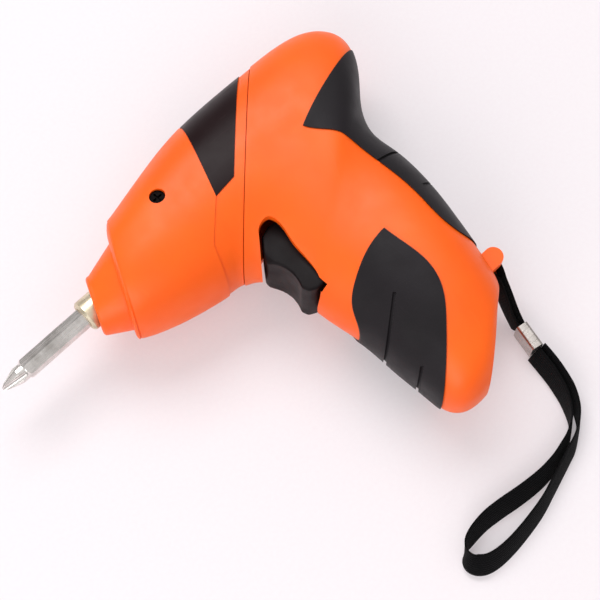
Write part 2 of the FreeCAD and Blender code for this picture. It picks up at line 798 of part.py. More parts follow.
def make_rocker():
    """Two-way rocker with a hollow front, its pin, and the switch with its two plungers."""
    blank = padded("rocker_blank", [
        ("rocker_front + 2", "rocker_bottom + 3.4"),
        ("rocker_front", "rocker_top - 8.4"),
        ("rocker_front + 0.2", "rocker_top - 7.2"),
        ("rocker_front + 4.9", "rocker_top - 1"),
        ("rocker_front + 8.2", "rocker_top"),
        ("rocker_back - 3", "rocker_top"),
        ("rocker_back", "rocker_top - 3"),
        ("rocker_back", "rocker_bottom + 3"),
        ("rocker_back - 3", "rocker_bottom"),
        ("rocker_front + 5.4", "rocker_bottom"),
        ("rocker_front + 2.8", "rocker_bottom + 1.4"),
    ], "rocker_half_width")
    long_side = "4 * rocker_half_width"
    far_side = "-2 * rocker_half_width"
    scoop_x = "rocker_front + 1 + scoop_depth - scoop_radius"
    scoop = rod("rocker_scoop", "z", scoop_x, "scoop_y", far_side, long_side, "scoop_radius")
    hole = rod("rocker_hole", "z", "pivot_x", "pivot_y", far_side, long_side, "pivot_radius + run_gap")
    plan = box(
        "rocker_plan", "rocker_front", "rocker_bottom - rocker_gap", "-rocker_half_width",
        "rocker_back - rocker_front + rocker_gap", "rocker_top - rocker_bottom + 2 * rocker_gap",
        "2 * rocker_half_width",
    )
    plan.recompute()
    radius = value("rocker_rounding")
    front_edges = []
    for number, edge in enumerate(plan.Shape.Edges, start=1):
        reach = edge.BoundBox
        if reach.YLength > radius and reach.XMax < value("rocker_front") + radius:
            front_edges.append((number, radius, radius))
    rounded = doc.addObject("Part::Fillet", "rocker_rounded")
    rounded.Base = plan
    rounded.Edges = front_edges
    keep(common("rocker_cut", cut("rocker_hollow", blank, scoop, hole), rounded), "rocker_trigger")
    pin = rod(
        "rocker_pin_rod", "z", "pivot_x", "pivot_y", "-pivot_length / 2", "pivot_length", "pivot_radius",
    )
    keep(pin, "rocker_pin")

    bores = []
    for name, sign in (("upper", 1), ("lower", -1)):
        y = f"pivot_y + {sign} * plunger_reach"
        bores.append(rod(
            f"switch_bore_{name}", "x", f"{SWITCH_FRONT} - 1", y, "0", "plunger_length",
            "plunger_radius + run_gap",
        ))
        plunger = rod(f"plunger_{name}", "x", "rocker_back + 0.3", y, "0", "plunger_length", "plunger_radius")
        keep(plunger, f"switch_plunger_{name}")
    case = box(
        "switch_box", SWITCH_FRONT, SWITCH_LOW, "-switch_half_width", "switch_depth", "switch_height",
        "2 * switch_half_width",
    )
    terminals = []
    for row in range(3):
        for side in (-1, 1):
            y = f"pivot_y + {row - 1} * switch_height / 3.5 - 1.2"
            z = f"{side} * switch_half_width / 2 - 0.25"
            terminals.append(box(
                f"switch_terminal_{row}_{side + 1}", f"{SWITCH_FRONT} + switch_depth - 1", y, z, "4", "2.4",
                "0.5",
            ))
    keep(fuse("switch_whole", cut("switch_bored", case, *bores), *terminals), "rocker_switch")


def cell_places():
    half = "cell_spacing / 2"
    return [(f"cell_middle_x + {i} * {half}", f"{k} * {half}") for i in (-1, 1) for k in (-1, 1)]


def make_battery():
    """Four cells with raised terminals and the strips that join them in series."""
    for number, (x, z) in enumerate(cell_places(), start=1):
        can = rod(f"cell_can_{number}", "y", x, "cell_low_y", z, "cell_length - 1", "cell_radius")
        tip = rod(f"cell_tip_{number}", "y", x, f"{CELL_HIGH} - 1.5", z, "1.5", "cell_radius / 2.2")
        keep(fuse(f"cell_{number}", can, tip), f"battery_cell_{number}")
    strip_width = "cell_radius / 2"
    strips = []
    for index, sign in enumerate((-1, 1)):
        x = f"cell_middle_x + {sign} * cell_spacing / 2 - {strip_width}"
        strips.append(box(
            f"low_strip_{index}", x, "cell_low_y - tab_thick", "-cell_spacing / 2 - 2",
            f"2 * {strip_width}", "tab_thick", "cell_spacing + 4",
        ))
    strips.append(box(
        "high_strip", "cell_middle_x - cell_spacing / 2 - 2", CELL_HIGH,
        f"cell_spacing / 2 - {strip_width}", "cell_spacing + 4", "tab_thick", f"2 * {strip_width}",
    ))
    keep(fuse("strip_group", *strips), "battery_strips")


def make_jack():
    """Charging socket with a centre pin, square to the slanted butt, and the room it takes."""
    front = "-jack_flange_thick"
    body = turned("jack_body", [
        (front, "jack_hole_radius"),
        (front, "jack_flange_radius"),
        ("0", "jack_flange_radius"),
        ("0", "jack_radius"),
        ("jack_length", "jack_radius"),
        ("jack_length", "0"),
        (f"{front} + 1", "0"),
        (f"{front} + 1", "jack_pin_radius"),
        ("jack_hole_depth", "jack_pin_radius"),
        ("jack_hole_depth", "jack_hole_radius"),
    ])
    room = turned("jack_room", [
        ("-jack_length", "0"),
        ("-jack_length", "jack_flange_radius + fit_gap"),
        ("0", "jack_flange_radius + fit_gap"),
        ("0", "jack_radius + fit_gap"),
        ("jack_length + fit_gap", "jack_radius + fit_gap"),
        ("jack_length + fit_gap", "0"),
    ])
    for item in (body, room):
        item.Placement = FreeCAD.Placement(Vector(), FreeCAD.Rotation(Z_AXIS, 180 - value("butt_lean")))
        item.setExpression("Placement.Rotation.Angle", formula("180 - butt_lean"))
        item.setExpression("Placement.Base.x", formula("butt_x - jack_sink * cos(butt_lean)"))
        item.setExpression("Placement.Base.y", formula("butt_y + jack_sink * sin(butt_lean)"))
    keep(body, "charge_socket")
    return room


def make_lug_tools():
    """The ear at the back of the left butt, and the cut for its cross pin and the strap."""
    eye = rod("lug_eye", "z", "lug_x", "lug_y", "lug_gap / 2", "lug_thick", "lug_radius")
    stem = box(
        "lug_stem", "lug_x - 2 * lug_radius", "lug_y - lug_radius", "lug_gap / 2",
        "2 * lug_radius", "2 * lug_radius", "lug_thick",
    )
    hole_half = "(lug_gap / 2 + lug_thick - lug_cover)"
    hole = rod(
        "lug_hole", "z", "lug_x", "lug_y", f"-{hole_half}", f"2 * {hole_half}",
        "lug_pin_radius + press_gap",
    )
    pin_half = f"({hole_half} - fit_gap)"
    pin = rod("lug_pin_rod", "z", "lug_x", "lug_y", f"-{pin_half}", f"2 * {pin_half}", "lug_pin_radius")
    keep(pin, "strap_pin")
    bend = "(lug_pin_radius + strap_thick + 3 * fit_gap)"
    slot = rod("lug_slot", "z", "lug_x", "lug_y", "-lug_gap / 2", "lug_gap", bend)
    lean = "atan((lug_x - clip_x) / (lug_y - clip_y))"
    way = box(
        "lug_strap_way", f"lug_x - {bend} * cos({lean}) - lug_way * sin({lean})",
        f"lug_y + {bend} * sin({lean}) - lug_way * cos({lean})", "-lug_gap / 2",
        f"2 * {bend}", "lug_way", "lug_gap", -value(lean),
    )
    return fuse("lug_ear", eye, stem), fuse("lug_cuts", hole, slot, way)


def make_shell(jack_room):
    """Nose cap, both housing halves, the soft grips and the label, all cut from one body form."""
    shell = layer("body_shell", "0", "-wall", "butt_wall")
    midwall = loft("body_midwall", skin_wires("-wall / 2", "butt_wall / 2"), False)
    make_nose_cap(shell, midwall)
    make_label()
    left_space = half_space("left_space", "left", "0")
    recesses = make_grips(left_space)
    make_halves(shell, midwall, left_space, recesses, jack_room)


def rocker_pocket():
    """Room for the rocker to tilt inside the shell."""
    gap = "rocker_gap"
    return box(
        "rocker_room", "rocker_front + rocker_pocket", f"rocker_bottom - {gap}",
        f"-rocker_half_width - {gap} / 2",
        f"rocker_back - rocker_front - rocker_pocket + {gap}", f"rocker_top - rocker_bottom + 2 * {gap}",
        f"2 * rocker_half_width + {gap}",
    )


def make_nose_cap(shell, midwall):
    """One-piece nose with the spindle bush, a sunk band for the label and a lip into the housing."""
    neck = loft("neck", neck_wires(), True)
    rear = behind_seam("cap_rear", "-seam_gap / 2", "4 * seam_depth")
    root_slab = behind_seam("lip_root_slab", "-2 * lip_length", "2 * lip_length - seam_gap / 2")
    lip_slab = behind_seam("lip_slab", "-lip_length", "2 * lip_length")
    lip_inner = "-wall - fit_gap - lip_thick"
    lip = common("lip_ring", layer("lip_layer", "-wall - fit_gap", lip_inner), lip_slab)
    root = common("lip_root", layer("lip_root_layer", "-wall / 2", lip_inner), root_slab)

    fittings = []
    for index, start in enumerate((f"{CASE_FRONT} + case_wall", f"{CASE_BACK} - 2 * rib_thick")):
        reach = "2 * case_radius"
        fittings.append(box(
            f"case_rib_{index}", start, f"-{reach}", f"-{reach}", "rib_thick", f"2 * {reach}",
            f"2 * {reach}",
        ))
    drills = []
    for label, sign in (("left", 1), ("right", -1)):
        fittings.append(nose_rod(f"cap_pad_{label}", sign, "nose_boss_top + fit_gap", "boss_radius"))
        drills.append(nose_rod(f"cap_hole_{label}", sign, "nose_boss_top - wall", "screw_radius + fit_gap"))
        drills.append(nose_rod(f"cap_sink_{label}", sign, NOSE_SEAT, "screw_head_radius + fit_gap"))
    inside = common("cap_inside", fuse("cap_fittings", *fittings), midwall)
    rooms = [
        rod("case_room", "x", CASE_FRONT, "0", "0", f"{MOTOR_BACK} - {CASE_FRONT}", "case_radius + fit_gap"),
        rod(
            "bush_room", "x", "bush_front", "0", "0", "bush_length",
            "spindle_radius + bush_wall + press_gap",
        ),
        rod(
            "bush_flange_room", "x", BUSH_FLANGE, "0", "0", "2 * bush_length",
            "spindle_radius + 2 * bush_wall + fit_gap",
        ),
        rod("spindle_room", "x", "-2 * bush_front", "0", "0", "4 * bush_front", "spindle_radius + seam_gap"),
    ]
    far = 3 * value("seam_depth")
    across = math.radians(value("seam_lean"))
    seam = Vector(value("seam_x"), value("seam_y"), 0)
    run = Vector(math.sin(across), math.cos(across), 0) * far
    seam_line = [(seam.x - run.x, seam.y - run.y), (seam.x + run.x, seam.y + run.y)]
    band_prism = side_prism("band_prism", [(False, BAND_EDGE + seam_line + BAND_EDGE[:1])])
    band = common("band_sunk", layer("band_layer", "2 * label_sink", "-label_sink"), band_prism)
    front = cut("cap_front", fuse("cap_form", neck, shell, inside), rear)
    whole = fuse("cap_whole", front, root, lip)
    keep(cut("cap_cut", whole, band, *rooms, *drills), "nose_cap")

    screws = []
    for label, sign in (("left", 1), ("right", -1)):
        length = f"({NOSE_SEAT} - nose_boss_top + 3)"
        screws.append(pan_screw(
            f"nose_screw_{label}", "nose_screw_x", "nose_screw_y", NOSE_SEAT, length, sign,
        ))
    keep(fuse("nose_screw_pair", *screws), "nose_screws")


def neck_wires():
    """Sections of the neck, from its rounded mouth to the rounded front edge of the body."""
    rounding = value("neck_rounding")
    wires = []
    for angle in (0, 30, 60, 90):
        turn = math.radians(angle)
        wires.append(station_wire(
            "neck_front", rounding * (math.sin(turn) - 1), rounding * (1 - math.cos(turn)),
        ))
    wires.append(station_wire("neck_back"))
    ledge = -value("shoulder_ledge")
    near = section_ends("neck_back")
    far = section_ends("shoulder")
    for angle in (20, 45, 70, 90):
        turn = math.radians(angle)
        along = 1 - math.cos(turn)
        rise = math.sin(turn)
        middle = [(ends[0] + ends[1]) * 0.5 for ends in (near, far)]
        half = [(ends[1] - ends[0]) * 0.5 for ends in (near, far)]
        centre = middle[0] + (middle[1] - middle[0]) * along
        reach = half[0] + (half[1] - half[0]) * rise
        width = value("neck_back_width") + value("shoulder_width - neck_back_width") * rise
        wires.append(section_wire(centre - reach, centre + reach, width, ledge * rise))
    wires.append(station_wire("shoulder", ledge, value("wall")))
    return wires


def nose_rod(name, sign, start, radius):
    """A rod on a nose screw's axis, from a height outwards on one side."""
    length = "case_radius"
    low = start if sign > 0 else f"-({start}) - {length}"
    return rod(name, "z", "nose_screw_x", "nose_screw_y", low, length, radius)


def make_label():
    """Thin wrap-round label in the sunk band."""
    sheet_layer = layer("label_layer", "label_thick - label_sink", "press_gap - label_sink")
    prism = side_prism("label_prism", [(False, LABEL_OUTLINE + LABEL_OUTLINE[:1])])
    keep(common("label_cut", sheet_layer, prism), "name_plate")


def pan_screw(name, x, y, seat, length, sign):
    """A pan head screw along Z whose head seats at a height on one side."""
    head_start = seat if sign > 0 else f"-({seat}) - screw_head_height"
    shank_start = f"({seat}) - ({length})" if sign > 0 else f"-({seat}) - 0.5"
    head = rod(f"{name}_head", "z", x, y, head_start, "screw_head_height", "screw_head_radius")
    shank = rod(f"{name}_shank", "z", x, y, shank_start, f"({length}) + 0.5", "screw_radius - 0.02")
    slot_start = f"({seat}) + screw_head_height - 0.9" if sign > 0 else f"-({seat}) - screw_head_height - 0.1"
    long_side = "1.3 * screw_head_radius"
    cross = []
    for index in range(2):
        wide = long_side if index == 0 else "0.7"
        tall = "0.7" if index == 0 else long_side
        cross.append(box(
            f"{name}_slot_{index}", f"{x} - {wide} / 2", f"{y} - {tall} / 2", slot_start, wide, tall, "1",
        ))
    return cut(name, fuse(f"{name}_whole", head, shank), *cross)


def make_grips(left_space):
    """Soft grips over the handle's front and back, and the matching recess in the left shell."""
    soft = layer("grip_layer", "grip_proud", "-grip_depth")
    groove = layer("groove_layer", "2 * grip_proud", "grip_proud - groove_depth")
    recess = layer("recess_layer", "4 * grip_proud", "-grip_depth - grip_gap")
    half = half_space("grip_space", "left", "press_gap")
    outlines = {
        "front_grip": (FRONT_GRIP_CURVE, FRONT_GRIP_BACK, FRONT_GRIP_OUTSIDE),
        "rear_grip": (REAR_GRIP_TOP, REAR_GRIP_FRONT, REAR_GRIP_OUTSIDE),
    }
    grooves = {"front_grip": FRONT_GROOVES, "rear_grip": REAR_GROOVES}
    recesses = []
    for name, (first, second, outside) in outlines.items():
        outline = [(True, first), (True, second), (False, [second[-1], outside, first[0]])]
        prism = side_prism(f"{name}_prism", outline)
        recesses.append(common(f"{name}_recess", recess, prism, left_space))
        slabs = []
        for index, (x, y, slope, length) in enumerate(grooves[name]):
            slab = box(
                f"{name}_slab_{index}", str(x), str(y), "-wall",
                str(length), "groove_wide", "2 * crown_width", slope,
            )
            slabs.append(common(f"{name}_groove_{index}", groove, slab))
        piece = common(f"{name}_piece", soft, prism, half)
        keep(
            mirrored_pair(cut(f"{name}_grooved", piece, *slabs), f"{name}_mirrored", f"{name}_right"),
            f"{name}_left",
        )
    return recesses


def mirrored_pair(item, name, label):
    """Keeps the right-hand twin of a left-hand piece and gives the left one back."""
    twin = doc.addObject("Part::Mirroring", name)
    twin.Source = item
    twin.Normal = Z_AXIS
    keep(twin, label)
    return item


def half_space(name, side, gap):
    """A large block on one side of the middle plane."""
    reach = "8 * seam_depth"
    low = gap if side == "left" else f"-({gap}) - {reach}"
    return box(name, f"-{reach} / 2", f"-{reach} / 2", low, reach, reach, reach)


def make_halves(shell, midwall, left_space, recesses, jack_room):
    """Left and right housing halves with their ribs, bosses, trigger notch and strap lug."""
    tall = "2 * crown_width"
    ribs = [
        box(
            "motor_rib_fore", f"{MOTOR_BACK} - 3 * rib_thick", "-motor_radius - 10", "0", "rib_thick", tall,
            tall,
        ),
        box("motor_rib_aft", f"{MOTOR_BACK} + fit_gap", "-motor_radius - 10", "0", "rib_thick", tall, tall),
        box(
            "switch_rib", f"{SWITCH_FRONT} + switch_depth - rib_thick", SWITCH_LOW, "0", "rib_thick",
            "switch_height", tall,
        ),
    ]
    cell_ribs = (f"{CELL_FLOOR} - rib_thick", "cell_low_y + 2 * rib_thick", f"{CELL_HIGH} - 3 * rib_thick")
    for index, y in enumerate(cell_ribs):
        x = "cell_middle_x - 2 * cell_spacing - cell_radius"
        ribs.append(box(f"cell_rib_{index}", x, y, "0", "2 * crest_depth", "rib_thick", tall))
    for index, (x, y) in enumerate(HOUSING_SCREWS):
        ribs.append(rod(f"boss_{index}", "z", str(x), str(y), "0", tall, "boss_radius"))
    ribs.append(rod("pivot_boss", "z", "pivot_x", "pivot_y", "0", tall, "2.6 * pivot_radius"))
    clear_of_lip = behind_seam("clear_of_lip", "lip_length + seam_gap", "4 * seam_depth")
    inside = common("housing_inside", fuse("housing_ribs", *ribs), midwall, clear_of_lip)
    rear = behind_seam("housing_rear", "seam_gap / 2", "4 * seam_depth")
    ear, lug_cuts = make_lug_tools()
    whole = fuse("housing_fused", common("housing_shell", shell, rear, left_space), inside, ear)

    notch = side_prism("notch_prism", [(False, NOTCH_FRONT), (True, NOTCH_BACK)])
    rooms = [
        rocker_pocket(),
        rod("motor_room", "x", MOTOR_FRONT, "0", "0", "motor_length", "motor_radius + fit_gap"),
        rod(
            "motor_cap_room", "x", MOTOR_BACK, "0", "0", "3 * motor_cap_length",
            "motor_radius - motor_cap_step + fit_gap",
        ),
        box(
            "switch_room", f"{SWITCH_FRONT} - plunger_length", f"{SWITCH_LOW} - fit_gap",
            "-switch_half_width - fit_gap",
            "switch_depth + 2 * plunger_length", "switch_height + 2 * fit_gap",
            "2 * (switch_half_width + fit_gap)",
        ),
        rod(
            "pivot_hole", "z", "pivot_x", "pivot_y", "0", "pivot_length / 2 + fit_gap",
            "pivot_radius + press_gap",
        ),
    ]
    for number, (x, z) in enumerate(cell_places()):
        if number % 2:
            rooms.append(rod(
                f"cell_room_{number}", "y", x, CELL_FLOOR, z, "cell_length + 4 * rib_thick",
                "cell_radius + fit_gap",
            ))
    left = cut("left_half", whole, *rooms, lug_cuts, notch, jack_room, *recesses)
    right = doc.addObject("Part::Mirroring", "right_half")
    right.Source = left
    right.Normal = Z_AXIS

    pilots = []
    drills = []
    for index, (x, y) in enumerate(HOUSING_SCREWS):
        pilots.append(rod(
            f"pilot_{index}", "z", str(x), str(y), "-wall", "screw_length - screw_seat + 2 * wall",
            "screw_radius",
        ))
        drills.append(rod(
            f"drill_{index}", "z", str(x), str(y), "-screw_seat - wall", "screw_seat + 2 * wall",
            "screw_radius + fit_gap",
        ))
        drills.append(rod(
            f"sink_{index}", "z", str(x), str(y), f"-{tall}", f"{tall} - screw_seat",
            "screw_head_radius + fit_gap",
        ))
    keep(cut("left_drilled", left, *pilots), "left_housing")
    keep(cut("right_drilled", right, *drills), "right_housing")
    screws = []
    for index, (x, y) in enumerate(HOUSING_SCREWS):
        screws.append(pan_screw(f"housing_screw_{index}", str(x), str(y), "screw_seat", "screw_length", -1))
    keep(fuse("housing_screw_group", *screws), "housing_screws")


def rounded_route(points):
    """Straight runs joined by tangent arcs, each as large as its two runs allow."""
    corners = [Vector(x, y, 0) for x, y in points]
    edges = []
    radii = []
    start = corners[0]
    for before, corner, after in zip(corners, corners[1:], corners[2:]):
        run_in = (before - corner).normalize()
        run_out = (after - corner).normalize()
        turn = math.pi - run_in.getAngle(run_out)
        setback = 0.45 * min((before - corner).Length, (after - corner).Length)
        radius = setback / math.tan(turn / 2)
        first = corner + run_in * setback
        last = corner + run_out * setback
        bisector = (run_in + run_out).normalize()
        centre = corner + bisector * (radius / math.cos(turn / 2))
        middle = centre - bisector * radius
        edges.append(Part.LineSegment(start, first).toShape())
        edges.append(Part.Arc(first, middle, last).toShape())
        radii.append(radius)
        start = last
    edges.append(Part.LineSegment(start, corners[-1]).toShape())
    return Part.Wire(edges), radii


def ribbon(name, wire, low, high):
    """A flat strap standing on its edge along a wire."""
    half = value("strap_thick") / 2
    sides = [wire.makeOffset2D(reach, openResult=True, join=2) for reach in (half, -half)]
    ends = []
    for pick in (0, -1):
        first = sides[0].OrderedVertexes[pick].Point
        second = sides[1].OrderedVertexes[pick].Point
        ends.append(Part.LineSegment(first, second).toShape())
    outline = Part.Wire(Part.__sortEdges__(sides[0].Edges + sides[1].Edges + ends))
    return extruded(name, outline, low, high)


def least_gap(wire):
    """The least clear space between two stretches of a strap that lie apart along it."""
    points = wire.discretize(Distance=1.0)
    apart = 12
    spaces = []
    for index, point in enumerate(points):
        spaces += [(point - other).Length for other in points[index + apart:]]
    return min(spaces) - value("strap_thick")


def make_strap():
    """Hand strap: a short tether round the lug pin, a crimped clip and a folded hand loop."""
    route, radii = rounded_route(STRAP_ROUTE)
    loop = ribbon("strap_band", route, "floor_z", "floor_z + strap_width")
    print("strap loop length", round(route.Length, 1), "least gap", round(least_gap(route), 2))
    print("strap loop radii", [round(radius, 1) for radius in radii])
    keep(loop, "strap_loop")

    first_end = Vector(*STRAP_ROUTE[0], 0)
    last_end = Vector(*STRAP_ROUTE[-1], 0)
    clip_start = Vector(value("clip_x"), value("clip_y"), 0)
    clip_end = (first_end + last_end) * 0.5
    down = (clip_end - clip_start).normalize()
    across = Vector(-down.y, down.x, 0)
    spread = abs((first_end - clip_end).dot(across))
    make_tether(clip_start, across * spread)

    gap = down * value("clip_gap")
    side = across * value("clip_thick / 2")
    near = clip_start + gap
    far = clip_end - gap
    outline = [near - side, near + side, far + side, far - side]
    block = extruded("clip_block", Part.makePolygon(outline + outline[:1]), "floor_z", "floor_z + clip_width")
    rounded = doc.addObject("Part::Fillet", "clip_rounded")
    rounded.Base = block
    radius = value("clip_rounding")
    long_edges = []
    for number, edge in enumerate(block.Shape.Edges, start=1):
        along = edge.tangentAt(edge.FirstParameter)
        if abs(along.dot(down)) > 0.99:
            long_edges.append((number, radius, radius))
    rounded.Edges = long_edges
    keep(rounded, "strap_clip")


def make_tether(clip_start, spread):
    """The band from the clip up round the lug pin and back, level at the pin and lying at the clip."""
    pin = Vector(value("lug_x"), value("lug_y"), 0)
    ring = value("lug_pin_radius + strap_thick / 2 + run_gap")
    away = (pin - clip_start).normalize()
    sideways = Vector(-away.y, away.x, 0)
    first = pin + sideways * ring
    last = pin - sideways * ring
    ends = [clip_start - spread, clip_start + spread]
    ends.sort(key=lambda end: (end - first).Length)
    wire = Part.Wire([
        Part.LineSegment(ends[0], first).toShape(),
        Part.Arc(first, pin + away * ring, last).toShape(),
        Part.LineSegment(last, ends[1]).toShape(),
    ])
    band = ribbon("tether_band", wire, "floor_z", "strap_width")
    length = (pin - clip_start).Length
    half = value("strap_width / 2")
    floor = value("floor_z")
    level_from = length - value("tether_level")
    beyond = length + 3 * ring
    behind = -value("clip_gap")
    profile = [
        (behind, floor), (level_from, -half), (beyond, -half),
        (beyond, half), (level_from, half), (behind, floor + 2 * half),
    ]
    reach = sideways * value("2 * strap_width")
    corners = [clip_start + away * along + Z_AXIS * height - reach for along, height in profile]
    slope = doc.addObject("Part::Feature", "tether_slope")
    slope.Shape = Part.Face(Part.makePolygon(corners + corners[:1])).extrude(reach * 2)
    keep(common("tether_cut", band, slope), "strap_tether")


def check_and_write():
    """Stops on any failed object or shape, then writes one file for each sub-part."""
    doc.recompute()
    for item in doc.Objects:
        if "Invalid" in item.State or "Error" in item.State:
            raise RuntimeError(f"{item.Name} failed: {item.State}")
    for item in parts:
        shape = item.Shape
        if shape.isNull() or not shape.isValid() or not shape.Solids:
            raise RuntimeError(f"{item.Label} has no valid solid")
    os.makedirs("parts", exist_ok=True)
    for item in parts:
        item.Shape.exportStep(f"parts/{item.Label}.step")
        print(item.Label, len(item.Shape.Solids), round(item.Shape.Volume, 1))


fill_sheet()
make_bit()
make_spindle()
make_gears()
make_gear_case()
make_motor()
make_rocker()
make_battery()
make_shell(make_jack())
make_strap()
check_and_write()
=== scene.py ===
import math
from collections import namedtuple

import bmesh
import bpy
from mathutils import Matrix, Vector


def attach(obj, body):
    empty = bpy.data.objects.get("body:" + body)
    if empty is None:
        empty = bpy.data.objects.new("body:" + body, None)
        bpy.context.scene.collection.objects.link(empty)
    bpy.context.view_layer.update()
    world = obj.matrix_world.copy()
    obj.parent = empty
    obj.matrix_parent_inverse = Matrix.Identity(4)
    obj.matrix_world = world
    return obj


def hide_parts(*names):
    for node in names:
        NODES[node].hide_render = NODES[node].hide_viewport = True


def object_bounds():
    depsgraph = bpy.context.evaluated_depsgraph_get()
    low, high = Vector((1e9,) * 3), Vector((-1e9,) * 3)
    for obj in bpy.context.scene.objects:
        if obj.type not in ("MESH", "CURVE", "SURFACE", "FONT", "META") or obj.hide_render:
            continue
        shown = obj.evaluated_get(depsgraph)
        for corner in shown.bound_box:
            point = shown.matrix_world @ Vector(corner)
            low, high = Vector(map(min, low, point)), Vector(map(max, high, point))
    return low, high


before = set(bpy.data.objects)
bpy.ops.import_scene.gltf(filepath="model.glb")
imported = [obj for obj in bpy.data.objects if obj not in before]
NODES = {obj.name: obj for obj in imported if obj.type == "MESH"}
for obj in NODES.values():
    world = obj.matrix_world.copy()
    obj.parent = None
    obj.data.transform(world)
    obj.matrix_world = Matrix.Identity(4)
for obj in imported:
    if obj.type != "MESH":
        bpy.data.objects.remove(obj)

STARTUP_OBJECTS = ("Cube", "Camera", "Light")
for startup_name in STARTUP_OBJECTS:
    if startup_name in bpy.data.objects and startup_name not in NODES:
        bpy.data.objects.remove(bpy.data.objects[startup_name])
CAD_BOX = [list(corner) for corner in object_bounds()]

MM = 0.001
UP = Vector((0, 0, 1))

# Camera at the photograph's angle, for a square frame
CAMERA_PLACE = Vector((-64.892, -167.052, 469.846)) * MM
CAMERA_TARGET = Vector((54.758, -44.870, 0.0)) * MM
CAMERA_RIGHT = Vector((0.7145, -0.6997, 0.0))
CAMERA_LENS = 91.5
CAMERA_SENSOR = 36.0
CAMERA_NEAREST = 0.01

# Hand loop of the strap, seen from above in millimetres, from the clip out and back to the clip
STRAP_ROUTE = [
    (104.3, -109.2), (103.9, -113.7), (102.7, -120.5), (100.4, -128.2), (95.9, -135.0), (89.7, -139.1),
    (82.8, -141.2), (73.5, -144.0), (65.8, -146.2), (57.5, -147.4), (49.3, -148.0), (42.5, -147.6),
    (37.9, -146.0), (35.6, -142.8), (36.6, -139.2), (40.3, -137.0), (48.0, -136.2), (55.3, -137.1),
    (62.9, -138.6), (71.0, -139.6), (77.0, -139.5), (82.2, -138.7), (88.7, -136.8), (94.1, -133.1),
    (98.0, -126.9), (100.3, -119.8), (101.5, -113.3), (102.1, -108.9),
]
STRAP_WIDTH = 8.0
STRAP_THICK = 1.2
STRAP_FLOOR = -22.0
ROUTE_STEPS = 12

# Direction in which the loop's upper edge leans, and how far
STRAP_AWAY = Vector((0.70, 0.71, 0.0))
STRAP_LEAN = math.radians(48)

# Crowned section of the webbing: steps across, mean and swing of its swell, and its thin selvedge
SECTION_STEPS = 8
CROWN_MEAN = 0.78
CROWN_SWING = 0.22
SELVEDGE = 0.35

# Tether from the clip to the lug pin, in millimetres
CLIP_START = (105.2, -99.4)
CLIP_SPREAD = 1.1
LUG_PIN = (108.4, -80.2)
LUG_RING = 1.85
# Share of the way to the pin, with the share of the loop's depth that is left there
TETHER_RISE = ((0.0, 1.0), (0.3, 0.8), (0.68, 0.2))
# Turn round the pin, ahead of it and beside it, in ring radii
TETHER_TURN = ((-1.2, 1.0), (0.6, 1.15), (1.35, 0.0), (0.6, -1.15), (-1.2, -1.0))

# Mesh size of the rounded rocker in metres, and the passes that round its edges
ROCKER_VOXEL = 0.00035
ROCKER_SMOOTHING = 14
ROCKER_SOFTNESS = 0.5

# Floor, with the share of its own glow that the camera sees
FLOOR_Z = CAD_BOX[0][2]
FLOOR_REACH = 30.0
FLOOR_CELLS = 2
FLOOR_GLOW = 0.28

# Strength of the studio's light at its walls and overhead
WALL_LIGHT = 0.30
CEILING_LIGHT = 0.74
WHITE = (1.0, 1.0, 1.0, 1.0)

# Sockets of a colour mix, whose names repeat for its other kinds
MIX_FACTOR, MIX_FIRST, MIX_SECOND = 0, 6, 7
MIX_RESULT = 2

# A bump's height source, its strength, and its depth in metres
Relief = namedtuple("Relief", "height strength depth")


def screen(red, green, blue):
    """A linear colour from screen values of 0 to 255."""
    def channel(number):
        part = number / 255
        return part / 12.92 if part <= 0.04045 else ((part + 0.055) / 1.055) ** 2.4

    return channel(red), channel(green), channel(blue), 1.0


def show(name, data):
    """A new object in the scene."""
    item = bpy.data.objects.new(name, data)
    bpy.context.scene.collection.objects.link(item)
    return item


